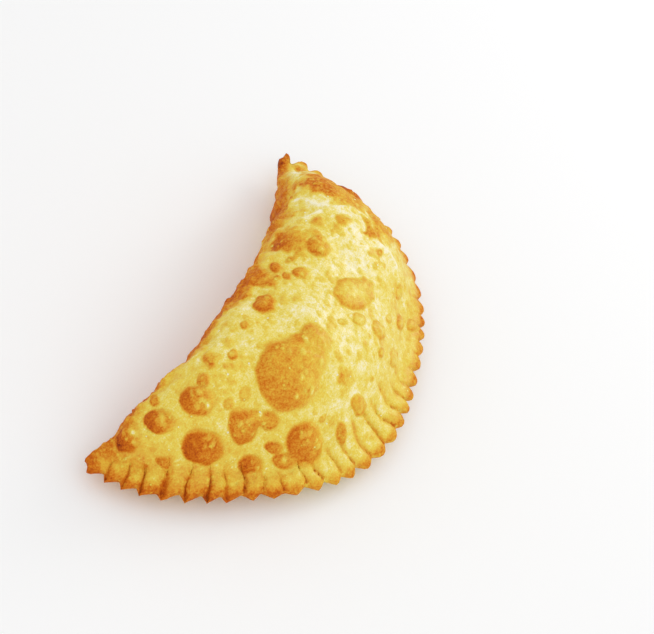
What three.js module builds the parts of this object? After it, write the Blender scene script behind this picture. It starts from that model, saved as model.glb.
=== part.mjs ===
import * as THREE from 'three';

// A cheese borek: a round of dough folded over its filling into a half moon, pressed shut in pleats
// along the curved rim, trimmed with a toothed wheel and fried until it puffs and blisters.
// Millimetres and degrees. The fold runs along X, the rim faces -Y and the pastry lies on Z = 0.

// The curved rim. Angles start at the near tip (-X) and run along the rim to the far tip (+X).
const rim = {
  radius: 66.8,        // from the middle of the fold out to the teeth
  tipAngle: 2,         // how far the rim runs past the fold line at each tip
  wave: 1.3,           // slow in and out of an edge trimmed by hand
  wavePitch: 63,
  waveStart: 7,
  waveEnds: [150, 172],
};

// The teeth left by the trimming wheel, about 5.7 mm apart: sharp at first, rounder further round
const teeth = {
  count: 37.5,         // the far tip is half a tooth
  depth: 2.0,
  shallowest: 0.6,     // the depth varies from this share of it
  spread: 0.8,
  points: [0.6, 0.15], // 0 is a round tooth, 1 a sharp one
  notches: [1, 1.8],   // 1 is as wide a notch as its tooth, more is narrower
  roundingAngles: [50, 95],
  lead: 0.25,          // near the tip a point lies this share of a tooth past its cut
  leadAngles: [31, 37],
  firstAngles: [-2, 1],
  lastDeepening: 0.4,  // the last cuts are deeper
  lastAngles: [165, 178],
  fade: 6,             // distance in from the rim over which a cut dies away
  wanders: [           // uneven spacing: shift as a share of the rim, waves along it, phase
    { shift: 0.0034, waves: 6.7, phase: 1.14 },
    { shift: 0.0062, waves: 1.53, phase: -3.43 },
  ],
};

// The flat band of sealed dough inside the rim
const seal = {
  width: 9.6,
  thickness: 2.6,
  edgeThickness: 1.3,
  edgeRound: 3.0,      // distance from the rim over which the edge thins
  foldRound: 2.0,      // and from the fold
  height: 5.8,         // mid plane above the table
  droop: 0.8,
  nearLift: 0.3,
  farLift: 1.5,
};

// The shoulder next to the far tip, where the puffed body comes close to the rim, and the short
// stretch of rim there that turns up
const shoulder = { angle: 146, spreads: [48, 20], sealWidth: 3.4 };
const upturn = { angle: 147, spreads: [9, 9], height: 2.6 };

// The folded edge, which sags inwards between the two tips
const fold = {
  middle: -1,
  half: 64.2,
  nearTipY: 3.3,
  farTipY: 2.6,
  sag: 11.3,
  sagPower: 2.2,
  skew: 0.15,          // the sag is deeper on the far half
  dent: { x: -29, width: 7, depth: 1.3 },
  round: 25,           // distance over which the fold rolls up to the crest
  lift: 8,             // the folded edge stands off the table
  underRoll: 0.6,
};

// The puffed body, which rises steeply inside the seal, less so on the flank opposite the fold
const body = {
  crest: 24.5,
  powers: [7, 3.4],    // on the steep side and on the flank
  flank: { angle: 116, spreads: [36, 34] },
  rise: 0.75,
  belly: 9.5,
  blend: 1.4,
  restBlend: 1.2,
};

// The pleats pressed into the seal: narrow creases near the tip, fat fingers further round
const pleat = {
  depth: 1.5,
  creaseWidth: 0.25,   // share of the half pitch
  splits: [4, 7],      // numbers of the creases that gape
  splitWidth: 2,       // times the crease width
  lengths: [           // how far in they reach, by the angle round the rim
    { angle: 0, length: 6 },
    { angle: 12, length: 8 },
    { angle: 34, length: 8 },
    { angle: 42, length: 6 },
    { angle: 56, length: 6 },
    { angle: 61, length: 10.5 },
    { angle: 86, length: 10.5 },
    { angle: 100, length: 4 },
  ],
  lengthSpread: 2.5,
  inwardBlend: [-2.5, 1.5],
  lean: 0.03,          // teeth of sideways lean for each millimetre inwards
  proud: 0.35,         // share of the depth that stands above the seal
  weakest: 0.6,        // the depth varies from this share of it
  spread: 0.8,
  farWeakening: 0.8,
  firstAngles: [1, 4],
  fingerAngles: [38, 58],
  lastAngles: [86, 100],
};

// The largest steam blisters: place over the table, radius and height
const blisters = [
  { x: -26.5, y: -34.5, radius: 9.9, height: 2.1 },
  { x: -19.5, y: -36, radius: 7, height: 1.8 },
  { x: -14, y: -35.5, radius: 5, height: 1.4 },
  { x: 12, y: -38.5, radius: 6.9, height: 1.4 },
  { x: -50.5, y: -23, radius: 5.7, height: 2.0 },
  { x: -33.5, y: -45, radius: 6.6, height: 1.7 },
  { x: -46, y: -16, radius: 4.8, height: 1.5 },
  { x: -42.5, y: -30, radius: 4.9, height: 1.5 },
  { x: -38, y: -34.5, radius: 3.2, height: 1.1 },
  { x: -53, y: -9.5, radius: 3.8, height: 1.3 },
  { x: -57, y: -4.5, radius: 3.8, height: 1.3 },
  { x: -45.5, y: -35, radius: 3.5, height: 1.3 },
  { x: -9.5, y: -18.5, radius: 3.8, height: 1.3 },
  { x: 17, y: -23.5, radius: 3.4, height: 1.0 },
  { x: -15.5, y: -54.5, radius: 3.6, height: 1.1 },
  { x: 8, y: -55.5, radius: 4.2, height: 1.1 },
];

// Slow unevenness of the puffed dough: height, and wave numbers along X and Y
const lumps = [
  { height: 0.45, alongX: 0.16, alongY: 0.11, phase: 0.4 },
  { height: 0.35, alongX: -0.1, alongY: 0.24, phase: 2.1 },
  { height: 0.22, alongX: 0.33, alongY: -0.19, phase: 4.4 },
];
const lumpFade = 9;    // distance in from the rim and the fold over which the lumps set in

// The net of vertices: columns run from the rim to the fold, over the top and back underneath
const columnsPerTooth = 4;
const topRows = 24;
const underRows = 12;
const columnSpread = 0.5;   // 1 spaces the columns evenly along the fold
const edgeRows = 0.65;      // 0 spaces the rows evenly, more gathers them at the rim and the fold
const leaveRim = 1.2;       // how firmly a column sets off square to the rim
const reachFold = 0.8;

const { clamp, degToRad, radToDeg, smoothstep, lerp, mapLinear } = THREE.MathUtils;
const fraction = (value) => value - Math.floor(value);
const draw = (index, kind) => fraction(Math.sin(index * 12.9898 + kind * 78.233) * 43758.5453);
const sweep = Math.PI + 2 * degToRad(rim.tipAngle);

// Teeth aren't quite evenly spaced: their shift along the rim, as a share of its length
function wander(along) {
  let shift = 0;
  for (const wave of teeth.wanders) {
    shift += wave.shift * Math.sin(2 * Math.PI * wave.waves * along + wave.phase);
  }
  return shift;
}

const rimAngle = (along) => (along + wander(along)) * sweep - degToRad(rim.tipAngle);

// The tooth number that lies at an angle, the other way round from rimAngle
function toothAt(angle) {
  const along = (angle + degToRad(rim.tipAngle)) / sweep;
  return teeth.count * (along - wander(along - wander(along)));
}

// Radius of the rim, before the teeth are cut
function rimRadius(angle) {
  const degrees = radToDeg(angle);
  const wave = Math.cos((2 * Math.PI * (degrees - rim.waveStart)) / rim.wavePitch);
  return rim.radius + rim.wave * wave * (1 - smoothstep(degrees, ...rim.waveEnds));
}

// Depth of the cut between two teeth, none at a tooth's point: near the tip the points are the whole
// numbers, a short way past their cuts, and further round the cuts are, with the points midway
function toothCut(tooth, angle) {
  const degrees = radToDeg(angle);
  const leading = 1 - smoothstep(degrees, ...teeth.leadAngles);
  const counted = tooth + teeth.lead * leading;
  const point = lerp(0.5, teeth.lead, leading);
  const place = fraction(counted);
  const even = place < point ? (0.5 * place) / point : 1 - (0.5 * (1 - place)) / (1 - point);
  const pointed = 1 - Math.abs(2 * even - 1);
  const rounded = 0.5 - 0.5 * Math.cos(2 * Math.PI * even);
  const rounding = smoothstep(degrees, ...teeth.roundingAngles);
  const inCut = 1 - lerp(rounded, pointed, lerp(...teeth.points, rounding));
  const first = smoothstep(degrees, ...teeth.firstAngles);
  const last = 1 + teeth.lastDeepening * smoothstep(degrees, ...teeth.lastAngles);
  const deep = teeth.shallowest + teeth.spread * draw(Math.round(counted), 1);
  return teeth.depth * deep * first * last * inCut ** lerp(...teeth.notches, rounding);
}

// The folded edge seen from above
function foldY(x) {
  const across = clamp((x - fold.middle) / fold.half, -1, 1);
  const tips = lerp(fold.nearTipY, fold.farTipY, (across + 1) / 2);
  const sag = fold.sag * (1 - Math.abs(across) ** fold.sagPower) * (1 + fold.skew * across);
  return tips - sag - fold.dent.depth * Math.exp(-(((x - fold.dent.x) / fold.dent.width) ** 2));
}

// A place on the plan: along runs from tip to tip, inward from the rim (0) to the fold (1).
// Each column is a Hermite curve that leaves the rim square to it and meets the fold along Y,
// and the cuts between the teeth push its first few millimetres inwards.
function planPoint(along, inward) {
  const angle = rimAngle(along);
  const outward = new THREE.Vector2(-Math.cos(angle), -Math.sin(angle));
  const start = outward.clone().multiplyScalar(rimRadius(angle));
  const side = 1 - 2 * along;
  const endX = fold.middle - fold.half * lerp(side ** 3, side, columnSpread);
  const end = new THREE.Vector2(endX, foldY(endX));
  const length = start.distanceTo(end);
  const cut = toothCut(teeth.count * along, angle) * Math.max(1 - (inward * length) / teeth.fade, 0);
  const q = inward;
  return new THREE.Vector2()
    .addScaledVector(start, 2 * q ** 3 - 3 * q ** 2 + 1)
    .addScaledVector(outward, -leaveRim * length * (q ** 3 - 2 * q ** 2 + q))
    .addScaledVector(end, 3 * q ** 2 - 2 * q ** 3)
    .addScaledVector(new THREE.Vector2(0, 1), reachFold * length * (q ** 3 - q ** 2))
    .addScaledVector(outward, -cut);
}

// Where a place on the plan lies: its angle, and its distance in from the rim and from the fold
function placeOnPlan(x, y) {
  const angle = Math.PI / 2 + Math.atan2(x, -y);
  const edge = rimRadius(angle);
  const radius = Math.hypot(x, y);
  return {
    angle,
    edge,
    radius,
    fromRim: Math.max(edge - radius, 0),
    fromFold: Math.max(foldY(x) - y, 0),
  };
}

// 1 at a place round the rim, falling off in a bell shape with a spread of its own on each side
function bellAt(angle, { angle: middle, spreads }) {
  const away = radToDeg(angle) - middle;
  return Math.exp(-((away / spreads[away < 0 ? 0 : 1]) ** 2));
}

// Keeps a height above the table: rounds it off to exactly 0 instead of going under
function restOnTable(height) {
  const blend = body.restBlend;
  if (height > blend) return height;
  return height > -blend ? (height + blend) ** 2 / (4 * blend) : 0;
}

// Heights of the upper and the under side over a place on the plan: the seal's thickness round its
// mid plane, plus the puffed body, which rises steeply inside the seal and rolls over at the fold
function heightsAt(x, y) {
  const { angle, edge, radius, fromRim, fromFold } = placeOnPlan(x, y);
  const sealWidth = lerp(seal.width, shoulder.sealWidth, bellAt(angle, shoulder));
  const bodyRadius = edge - sealWidth;
  const inside = body.blend * Math.log1p(Math.exp((bodyRadius - radius) / body.blend));
  const power = lerp(...body.powers, bellAt(angle, body.flank));
  const puff = 1 - (Math.max(bodyRadius - inside, 0) / bodyRadius) ** power;
  const overFold = Math.min(fromFold / fold.round, 1);
  const roll = Math.sqrt(1 - (1 - overFold) ** 2);
  const across = x / bodyRadius;
  const taper = Math.max(1 - across ** 2, 0);
  const outward = clamp(1 - fromRim / sealWidth, 0, 1);
  const tipLift = (across < 0 ? seal.nearLift : seal.farLift) * Math.abs(across) ** 3;
  const upturned = upturn.height * bellAt(angle, upturn) * outward;
  const sealPlane = seal.height + tipLift + upturned - seal.droop * outward ** 2;
  const midPlane = sealPlane + fold.lift * (1 - overFold) ** 2 * taper;
  const thick = smoothstep(Math.min(fromRim / seal.edgeRound, fromFold / seal.foldRound), 0, 1);
  const half = lerp(seal.edgeThickness, seal.thickness, thick) / 2;
  const under = body.belly * puff + fold.underRoll * fold.lift * (1 - overFold) * taper;
  return {
    top: midPlane + half + body.crest * puff ** body.rise * roll,
    bottom: restOnTable(midPlane - half - under * roll),
  };
}

// How far in the pleats reach, straight between the angles given
function pleatLength(degrees) {
  const { lengths } = pleat;
  const next = lengths.findIndex(({ angle }) => angle >= degrees);
  if (next < 1) return lengths.at(next).length;
  const before = lengths[next - 1];
  const after = lengths[next];
  return mapLinear(degrees, before.angle, after.angle, before.length, after.length);
}

// Relief of the pressed pleats, in step with the teeth
function pleatRelief(x, y) {
  const { angle, fromRim } = placeOnPlan(x, y);
  const degrees = radToDeg(angle);
  const last = smoothstep(degrees, ...pleat.lastAngles);
  const leaning = smoothstep(degrees, ...pleat.fingerAngles);
  const finger = leaning * (1 - last);
  const tooth = toothAt(angle) + pleat.lean * leaning * fromRim;
  const index = Math.round(tooth);
  const fromCrease = 1 - Math.abs(2 * fraction(tooth) - 1);
  const creaseWidth = pleat.creaseWidth * (pleat.splits.includes(index) ? pleat.splitWidth : 1);
  const crease = -Math.exp(-((fromCrease / creaseWidth) ** 2));
  const round = Math.sqrt(1 - (1 - fromCrease) ** 2) - 1;
  const length = pleatLength(degrees) + pleat.lengthSpread * (draw(index, 2) - 0.5);
  const reach = 1 - smoothstep(fromRim - length, ...pleat.inwardBlend);
  const pressed = smoothstep(degrees, ...pleat.firstAngles) * (1 - pleat.farWeakening * last);
  const depth = pleat.depth * pressed * (pleat.weakest + pleat.spread * draw(index, 3));
  return depth * reach * (lerp(crease, round, finger) + pleat.proud);
}

// Relief of the slow lumps, which fade out at the edges, and of the blisters: round caps that join
// by the cube root of their summed cubes
function doughRelief(point) {
  const { fromRim, fromFold } = placeOnPlan(point.x, point.y);
  const fade = smoothstep(Math.min(fromRim, fromFold), 0, lumpFade);
  let relief = 0;
  for (const { height, alongX, alongY, phase } of lumps) {
    relief += fade * height * Math.sin(alongX * point.x + alongY * point.y + phase);
  }
  let swell = 0;
  for (const { x, y, radius, height } of blisters) {
    const middle = new THREE.Vector3(x, y, heightsAt(x, y).top);
    const share = point.distanceTo(middle) / radius;
    if (share < 1) swell += (height * Math.sqrt(1 - share ** 2)) ** 3;
  }
  return relief + Math.cbrt(swell);
}

// How far in from the rim a row lies, as a share of its column
function rowInward(row, rows) {
  const even = row / (rows - 1);
  return lerp(even, 0.5 - 0.5 * Math.cos(Math.PI * even), edgeRows);
}

// One closed loop of points for each column: over the top to the fold and back underneath
function columnLoop(along) {
  const loop = [];
  for (let row = 0; row < topRows; row++) {
    const { x, y } = planPoint(along, rowInward(row, topRows));
    loop.push(new THREE.Vector3(x, y, heightsAt(x, y).top + pleatRelief(x, y)));
  }
  for (let row = underRows - 1; row >= 0; row--) {
    const { x, y } = planPoint(along, rowInward(row, underRows));
    loop.push(new THREE.Vector3(x, y, heightsAt(x, y).bottom));
  }
  return loop;
}

// Joins the loops into one closed skin, with a small fan over each tip
function skinGeometry(loops) {
  const loopLength = topRows + underRows;
  const points = loops.flat();
  const triangles = [];
  for (let column = 0; column + 1 < loops.length; column++) {
    for (let row = 0; row < loopLength; row++) {
      const here = column * loopLength + row;
      const next = column * loopLength + ((row + 1) % loopLength);
      triangles.push(here, here + loopLength, next + loopLength, here, next + loopLength, next);
    }
  }
  for (const column of [0, loops.length - 1]) {
    const middle = new THREE.Vector3();
    for (const point of loops[column]) middle.addScaledVector(point, 1 / loopLength);
    points.push(middle);
    for (let row = 0; row < loopLength; row++) {
      const here = column * loopLength + row;
      const next = column * loopLength + ((row + 1) % loopLength);
      const [first, second] = column === 0 ? [here, next] : [next, here];
      triangles.push(points.length - 1, first, second);
    }
  }
  const geometry = new THREE.BufferGeometry().setFromPoints(points);
  geometry.setIndex(triangles);
  return geometry;
}

// Raises the upper side along its normals by the blisters and lumps
function addDoughRelief(geometry) {
  geometry.computeVertexNormals();
  const position = geometry.getAttribute('position');
  const normals = geometry.getAttribute('normal');
  const loopLength = topRows + underRows;
  const columns = teeth.count * columnsPerTooth + 1;
  for (let column = 0; column < columns; column++) {
    for (let row = 0; row < topRows; row++) {
      const index = column * loopLength + row;
      const point = new THREE.Vector3().fromBufferAttribute(position, index);
      const normal = new THREE.Vector3().fromBufferAttribute(normals, index);
      point.addScaledVector(normal, doughRelief(point));
      position.setXYZ(index, point.x, point.y, point.z);
    }
  }
}

function borekGeometry() {
  const columns = teeth.count * columnsPerTooth;
  const loops = Array.from({ length: columns + 1 }, (_, column) => columnLoop(column / columns));
  const geometry = skinGeometry(loops);
  addDoughRelief(geometry);
  geometry.computeBoundingBox();
  const middle = geometry.boundingBox.getCenter(new THREE.Vector3());
  geometry.translate(-middle.x, -middle.y, 0);
  geometry.computeVertexNormals();
  return geometry;
}

const friedDough = new THREE.MeshStandardMaterial({ color: 0xe0b04c, roughness: 0.55, metalness: 0 });

const borek = new THREE.Mesh(borekGeometry(), friedDough);
borek.name = 'borek';

const part = new THREE.Group();
part.add(borek);

export default part;
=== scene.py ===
import itertools
import bpy
import numpy as np
from mathutils import Matrix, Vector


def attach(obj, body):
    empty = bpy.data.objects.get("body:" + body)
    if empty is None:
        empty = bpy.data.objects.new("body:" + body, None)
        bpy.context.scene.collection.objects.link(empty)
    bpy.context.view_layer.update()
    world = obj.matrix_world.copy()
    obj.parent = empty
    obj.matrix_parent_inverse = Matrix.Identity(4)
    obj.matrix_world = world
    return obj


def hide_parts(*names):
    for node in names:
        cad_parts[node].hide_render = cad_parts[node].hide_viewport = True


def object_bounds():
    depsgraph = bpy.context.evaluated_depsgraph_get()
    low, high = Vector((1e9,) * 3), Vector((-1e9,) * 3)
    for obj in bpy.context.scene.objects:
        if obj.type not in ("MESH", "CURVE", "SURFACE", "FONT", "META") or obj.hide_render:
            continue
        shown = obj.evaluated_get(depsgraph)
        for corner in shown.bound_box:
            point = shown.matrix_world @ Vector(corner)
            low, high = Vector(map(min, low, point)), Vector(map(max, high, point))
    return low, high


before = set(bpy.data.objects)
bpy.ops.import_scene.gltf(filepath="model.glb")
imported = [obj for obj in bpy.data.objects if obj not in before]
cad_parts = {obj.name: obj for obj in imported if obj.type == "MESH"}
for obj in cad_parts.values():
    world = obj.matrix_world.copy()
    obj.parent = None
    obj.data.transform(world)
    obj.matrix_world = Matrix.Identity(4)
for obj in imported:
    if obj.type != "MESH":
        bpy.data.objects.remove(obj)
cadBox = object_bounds()
cadLow, cadHigh = (np.array(corner) for corner in cadBox)
print("frame: CAD box in mm", np.round((cadHigh - cadLow) * 1000, 1))


# Small maths that the shape is written with

def smoothStep(value, low, high):  # 0 below low, 1 above high, an S between
    share = np.clip((value - low) / (high - low), 0, 1)
    return share * share * (3 - 2 * share)


def mixed(first, second, share):  # from the first to the second in a straight line
    return first + (second - first) * share


def bell(distance, width):  # e to the minus square of the distance in widths: 1 in the middle
    return np.exp(-(distance / width) ** 2)


def fraction(value):
    return value - np.floor(value)


def draw(index, kind):  # a fixed random number from 0 to 1 for each index and kind
    return fraction(np.sin(index * 12.9898 + kind * 78.233) * 43758.5453)


def unit(vectors):
    return vectors / np.maximum(np.linalg.norm(vectors, axis=-1, keepdims=True), 1e-9)


def cornerDraw(corners, kind):  # a fixed random number from 0 to 1 for each corner of a lattice
    return fraction(np.sin(corners @ np.array([12.9898, 78.233, 37.719]) + kind * 5.13) * 43758.5453)


def cloud(points, size, kind):
    # smooth random field from -1 to 1: random numbers at the corners of cubes of this size,
    # blended between the corners
    corner = np.floor(points / size)
    share = smoothStep(points / size - corner, 0, 1)
    total = 0
    for offset in itertools.product((0, 1), repeat=3):
        weight = np.prod(np.where(offset, share, 1 - share), -1)
        total = total + weight * cornerDraw(corner + offset, kind)
    return 2 * total - 1


def unevenness(points, layers, kind):  # clouds of the sizes and heights given, added up
    return sum(height * cloud(points, size, kind) for size, height in layers)


def pebbles(points, size, kind):
    # one seed at random in each cube of this size: the distance from a point to its nearest seed,
    # as a share of the size
    place = points / size
    corner = np.floor(place)
    nearest = np.full(place.shape[:-1], np.inf)
    for offset in itertools.product((-1, 0, 1), repeat=3):
        cube = corner + offset
        seed = cube + np.stack([cornerDraw(cube, kind + axis) for axis in range(3)], -1)
        nearest = np.minimum(nearest, np.linalg.norm(seed - place, axis=-1))
    return nearest


# The borek's form, in millimetres and degrees, with the fold along X and the rim towards -Y.
# Angles start at the near tip (-X) and run along the rim to the far tip (+X).
borek = {
    # the rim: a circle with a slow wave, running on past the fold line at each tip
    "rimRadius": 66.8, "tipAngle": 2, "rimWave": 1.3, "rimWavePitch": 63, "rimWaveStart": 7,
    "rimWaveEnds": (150, 172),
    # its teeth: cuts of varying depth that die away inwards
    "teeth": 37.5, "toothDepth": 2.0, "toothVaries": (0.6, 0.8), "toothFade": 6,
    "toothLead": 0.25, "toothLeadEnds": (31, 37),  # how far a point lies past its cut, near the tip
    "toothPoints": (0.6, 0.15), "notches": (1, 1.8), "toothRounding": (50, 95),  # round teeth come later
    "firstTeeth": (-2, 1), "lastDeepening": 0.4, "lastTeeth": (165, 178),
    "toothWanders": ((0.0034, 6.7, 1.14), (0.0062, 1.53, -3.43)),  # shift, waves, phase
    # the sealed band inside the rim, and the shoulder by the far tip, where it is narrow and turns up
    "sealWidth": 9.6, "sealThick": 2.6, "edgeThick": 1.3, "edgeRound": 3.0, "foldEdgeRound": 2.0,
    "sealHeight": 5.8, "droop": 0.8, "nearLift": 0.3, "farLift": 1.5,
    "shoulder": (146, 48, 20), "shoulderSeal": 3.4, "farRise": (147, 9, 9), "farRiseHeight": 2.6,
    # the folded edge, and how firmly the columns leave the rim and meet it
    "foldMiddle": -1.0, "foldHalf": 64.2, "foldTips": (3.3, 2.6), "foldSag": 11.3, "foldPower": 2.2,
    "foldSkew": 0.15, "foldDent": (-29, 7, 1.3),  # place, width and depth of the dent
    "foldRound": 25, "foldLift": 8, "underRoll": 0.6, "leaveRim": 1.2, "reachFold": 0.8,
    # the puffed body: how steeply it rises inside the seal and on the flank, and how it lies down
    "crest": 24.5, "bodyPowers": (7, 3.4), "flank": (116, 36, 34), "bodyRise": 0.75, "belly": 9.5,
    "bodyBlend": 1.4, "restBlend": 1.2,
}


def wander(along):  # teeth aren't quite evenly spaced: a sum of sines along the rim
    return sum(size * np.sin(2 * np.pi * waves * along + phase)
               for size, waves, phase in borek["toothWanders"])


def rimAngle(along):  # angle in radians of a share of the rim's length
    tip = np.radians(borek["tipAngle"])
    return (along + wander(along)) * (np.pi + 2 * tip) - tip


def toothAt(angle):  # tooth number at an angle, the other way round from rimAngle
    tip = np.radians(borek["tipAngle"])
    along = (angle + tip) / (np.pi + 2 * tip)
    return borek["teeth"] * (along - wander(along - wander(along)))


def rimRadius(angle):  # a circle with a slow wave that dies out at the far tip
    degrees = np.degrees(angle)
    wave = np.cos(2 * np.pi * (degrees - borek["rimWaveStart"]) / borek["rimWavePitch"])
    return borek["rimRadius"] + borek["rimWave"] * wave * (1 - smoothStep(degrees, *borek["rimWaveEnds"]))


def toothCut(tooth, angle):
    # deepest between two teeth and none at a tooth's point: near the tip the points are the whole
    # numbers, a short way past their cuts, further round the cuts are, with the points midway
    degrees = np.degrees(angle)
    leading = 1 - smoothStep(degrees, *borek["toothLeadEnds"])
    counted = tooth + borek["toothLead"] * leading
    place, point = fraction(counted), mixed(0.5, borek["toothLead"], leading)
    place = np.where(place < point, 0.5 * place / point, 1 - 0.5 * (1 - place) / (1 - point))
    pointed = 1 - np.abs(2 * place - 1)
    rounded = 0.5 - 0.5 * np.cos(2 * np.pi * place)
    rounding = smoothStep(degrees, *borek["toothRounding"])
    inCut = 1 - mixed(rounded, pointed, mixed(*borek["toothPoints"], rounding))
    least, spread = borek["toothVaries"]
    deep = least + spread * draw(np.round(counted), 1)
    deep = deep * smoothStep(degrees, *borek["firstTeeth"])
    deep = deep * (1 + borek["lastDeepening"] * smoothStep(degrees, *borek["lastTeeth"]))
    return borek["toothDepth"] * deep * inCut ** mixed(*borek["notches"], rounding)


def foldY(x):
    # the folded edge from above: between the tips it sags in by a power of the distance from its
    # middle, more on the far half, and has a bell-shaped dent
    across = np.clip((x - borek["foldMiddle"]) / borek["foldHalf"], -1, 1)
    place, width, depth = borek["foldDent"]
    tips = mixed(*borek["foldTips"], (across + 1) / 2)
    sag = borek["foldSag"] * (1 - np.abs(across) ** borek["foldPower"])
    return tips - sag * (1 + borek["foldSkew"] * across) - depth * bell(x - place, width)


def planPoint(along, inward, toothed=1):
    # Hermite curve from the rim (inward 0) to the fold (1), leaving square to the rim and
    # arriving along Y, with the cuts between the teeth pushing its first millimetres in
    angle = rimAngle(along)
    outward = np.stack([-np.cos(angle), -np.sin(angle)], -1)
    start = outward * rimRadius(angle)[..., None]
    side = 1 - 2 * along
    endX = borek["foldMiddle"] - borek["foldHalf"] * (side + side ** 3) / 2  # closer together in the middle
    end = np.stack([endX, foldY(endX)], -1)
    length = np.linalg.norm(end - start, axis=-1)
    cut = toothed * toothCut(borek["teeth"] * along, angle)
    cut = cut * np.maximum(1 - inward * length / borek["toothFade"], 0)
    leave = -borek["leaveRim"] * length * (inward ** 3 - 2 * inward ** 2 + inward) - cut
    arrive = borek["reachFold"] * length * (inward ** 3 - inward ** 2)
    reach = (3 * inward ** 2 - 2 * inward ** 3)[..., None]
    plan = start * (1 - reach) + end * reach + outward * leave[..., None]
    return plan[..., 0], plan[..., 1] + arrive


def placeOnPlan(x, y):  # angle round the rim, and distances in from the rim and from the fold
    angle = np.pi / 2 + np.arctan2(x, -y)
    fromRim = np.maximum(rimRadius(angle) - np.hypot(x, y), 0)
    return angle, fromRim, np.maximum(foldY(x) - y, 0)


def bellAt(angle, place):  # bell shape round a place on the rim, with a spread of its own on each side
    middle, before, after = place
    away = np.degrees(angle) - middle
    return bell(away, np.where(away < 0, before, after))


def heightsAt(x, y):
    # the seal's thickness round its mid plane, plus the puffed body, which rises steeply inside
    # the seal, less so on one flank, and rolls over at the fold; the under side is rounded off to
    # lie on the table
    angle, fromRim, fromFold = placeOnPlan(x, y)
    sealWidth = mixed(borek["sealWidth"], borek["shoulderSeal"], bellAt(angle, borek["shoulder"]))
    bodyRadius = rimRadius(angle) - sealWidth
    blend = borek["bodyBlend"]
    inside = blend * np.logaddexp(0, (bodyRadius - np.hypot(x, y)) / blend)
    power = mixed(*borek["bodyPowers"], bellAt(angle, borek["flank"]))
    puff = 1 - (np.maximum(bodyRadius - inside, 0) / bodyRadius) ** power
    overFold = np.minimum(fromFold / borek["foldRound"], 1)
    roll = np.sqrt(1 - (1 - overFold) ** 2)
    across = x / bodyRadius
    taper = np.maximum(1 - across ** 2, 0)
    outward = np.clip(1 - fromRim / sealWidth, 0, 1)
    lift = np.where(across < 0, borek["nearLift"], borek["farLift"]) * np.abs(across) ** 3
    farRise = borek["farRiseHeight"] * bellAt(angle, borek["farRise"]) * outward
    midPlane = borek["sealHeight"] + lift + farRise
    midPlane += borek["foldLift"] * (1 - overFold) ** 2 * taper - borek["droop"] * outward ** 2
    thick = smoothStep(np.minimum(fromRim / borek["edgeRound"], fromFold / borek["foldEdgeRound"]), 0, 1)
    half = mixed(borek["edgeThick"], borek["sealThick"], thick) / 2
    top = midPlane + half + borek["crest"] * puff ** borek["bodyRise"] * roll
    under = borek["belly"] * puff + borek["underRoll"] * borek["foldLift"] * (1 - overFold) * taper
    bottom = midPlane - half - under * roll
    rest = borek["restBlend"]
    rounded = np.where(bottom > -rest, (bottom + rest) ** 2 / (4 * rest), 0)
    return top, np.where(bottom > rest, bottom, rounded)


# Pleats pressed into the seal: narrow creases near the tip, fat fingers further round
pleats = {
    "depth": 1.5, "varies": (0.6, 0.8), "proud": 0.35, "pillow": 0.35, "farWeakening": 0.8,
    "creaseWidth": 0.13, "splits": (4, 7), "splitWidth": 2.0,  # numbers of the creases that gape
    "lengths": (  # angle round the rim and length there
        (0, 6.0), (12, 8.0), (34, 8.0), (42, 6.0), (56, 6.0), (61, 10.5), (86, 10.5), (100, 4.0),
    ),
    "lengthSpread": 3.6, "inwardBlend": (-2.5, 1.5), "lean": 0.03,
    "waver": ((5.0, 0.26),), "waverFrom": (0, 5),  # creases stray sideways further in from the rim
    "firstAngles": (1, 4), "fingerAngles": (38, 58), "lastAngles": (86, 100),
    # browning with painted shade beside a crease and in it, at the rim and further in
    "shade": 0.3, "shadeWidth": 0.35, "darkness": (1.4, 0.5), "darkInward": (1, 7), "darkVaries": (0.5, 0.9),
    # small bumps just past the inner ends of the first pleats, paled as painted highlights
    "dotCount": 40, "dotTeeth": (1.2, 9.5), "dotPast": (-0.5, 1.5), "dotRadius": (0.35, 0.75),
    "dotWidth": 0.8, "dotRise": 0.4, "dotPaintedHighlight": (0.08, 0.2),
}


def pleatLength(degrees):  # how far in the pleats reach, straight between the angles given
    return np.interp(degrees, *zip(*pleats["lengths"]))


def pleatRelief(x, y):
    # across a pleat: a bell-shaped crease or a half round finger, in step with the teeth;
    # inwards: at full depth along its length, then dying away. Also gives the crease's darkening: browning
    # and painted shade
    angle, fromRim = placeOnPlan(x, y)[:2]
    degrees = np.degrees(angle)
    last = smoothStep(degrees, *pleats["lastAngles"])
    leaning = smoothStep(degrees, *pleats["fingerAngles"])
    finger = mixed(pleats["pillow"], 1, leaning) * (1 - last)
    waver = unevenness(np.stack([x, y, 0 * x], -1), pleats["waver"], 31)
    tooth = toothAt(angle) + pleats["lean"] * leaning * fromRim
    tooth = tooth + waver * smoothStep(fromRim, *pleats["waverFrom"])
    index = np.round(tooth)
    fromCrease = 1 - np.abs(2 * fraction(tooth) - 1)
    width = pleats["creaseWidth"] * np.where(np.isin(index, pleats["splits"]), pleats["splitWidth"], 1)
    crease = bell(fromCrease, width)
    roundFinger = np.sqrt(np.maximum(1 - (1 - fromCrease) ** 2, 0)) - 1
    length = pleatLength(degrees) + pleats["lengthSpread"] * (draw(index, 2) - 0.5)
    reach = 1 - smoothStep(fromRim - length, *pleats["inwardBlend"])
    pressed = smoothStep(degrees, *pleats["firstAngles"]) * (1 - pleats["farWeakening"] * last)
    least, spread = pleats["varies"]
    strength = reach * pressed * (least + spread * draw(index, 3))
    relief = pleats["depth"] * strength * (mixed(-crease, roundFinger, finger) + pleats["proud"])
    # the crease's darkening, in it and beside it: partly browning, partly painted shade
    dark = mixed(*pleats["darkness"], smoothStep(fromRim, *pleats["darkInward"]))
    dark = dark * mixed(*pleats["darkVaries"], draw(index, 4))
    shade = pleats["shade"] * bell(fromCrease, pleats["shadeWidth"])
    return relief, (crease * dark + shade) * strength


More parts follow.
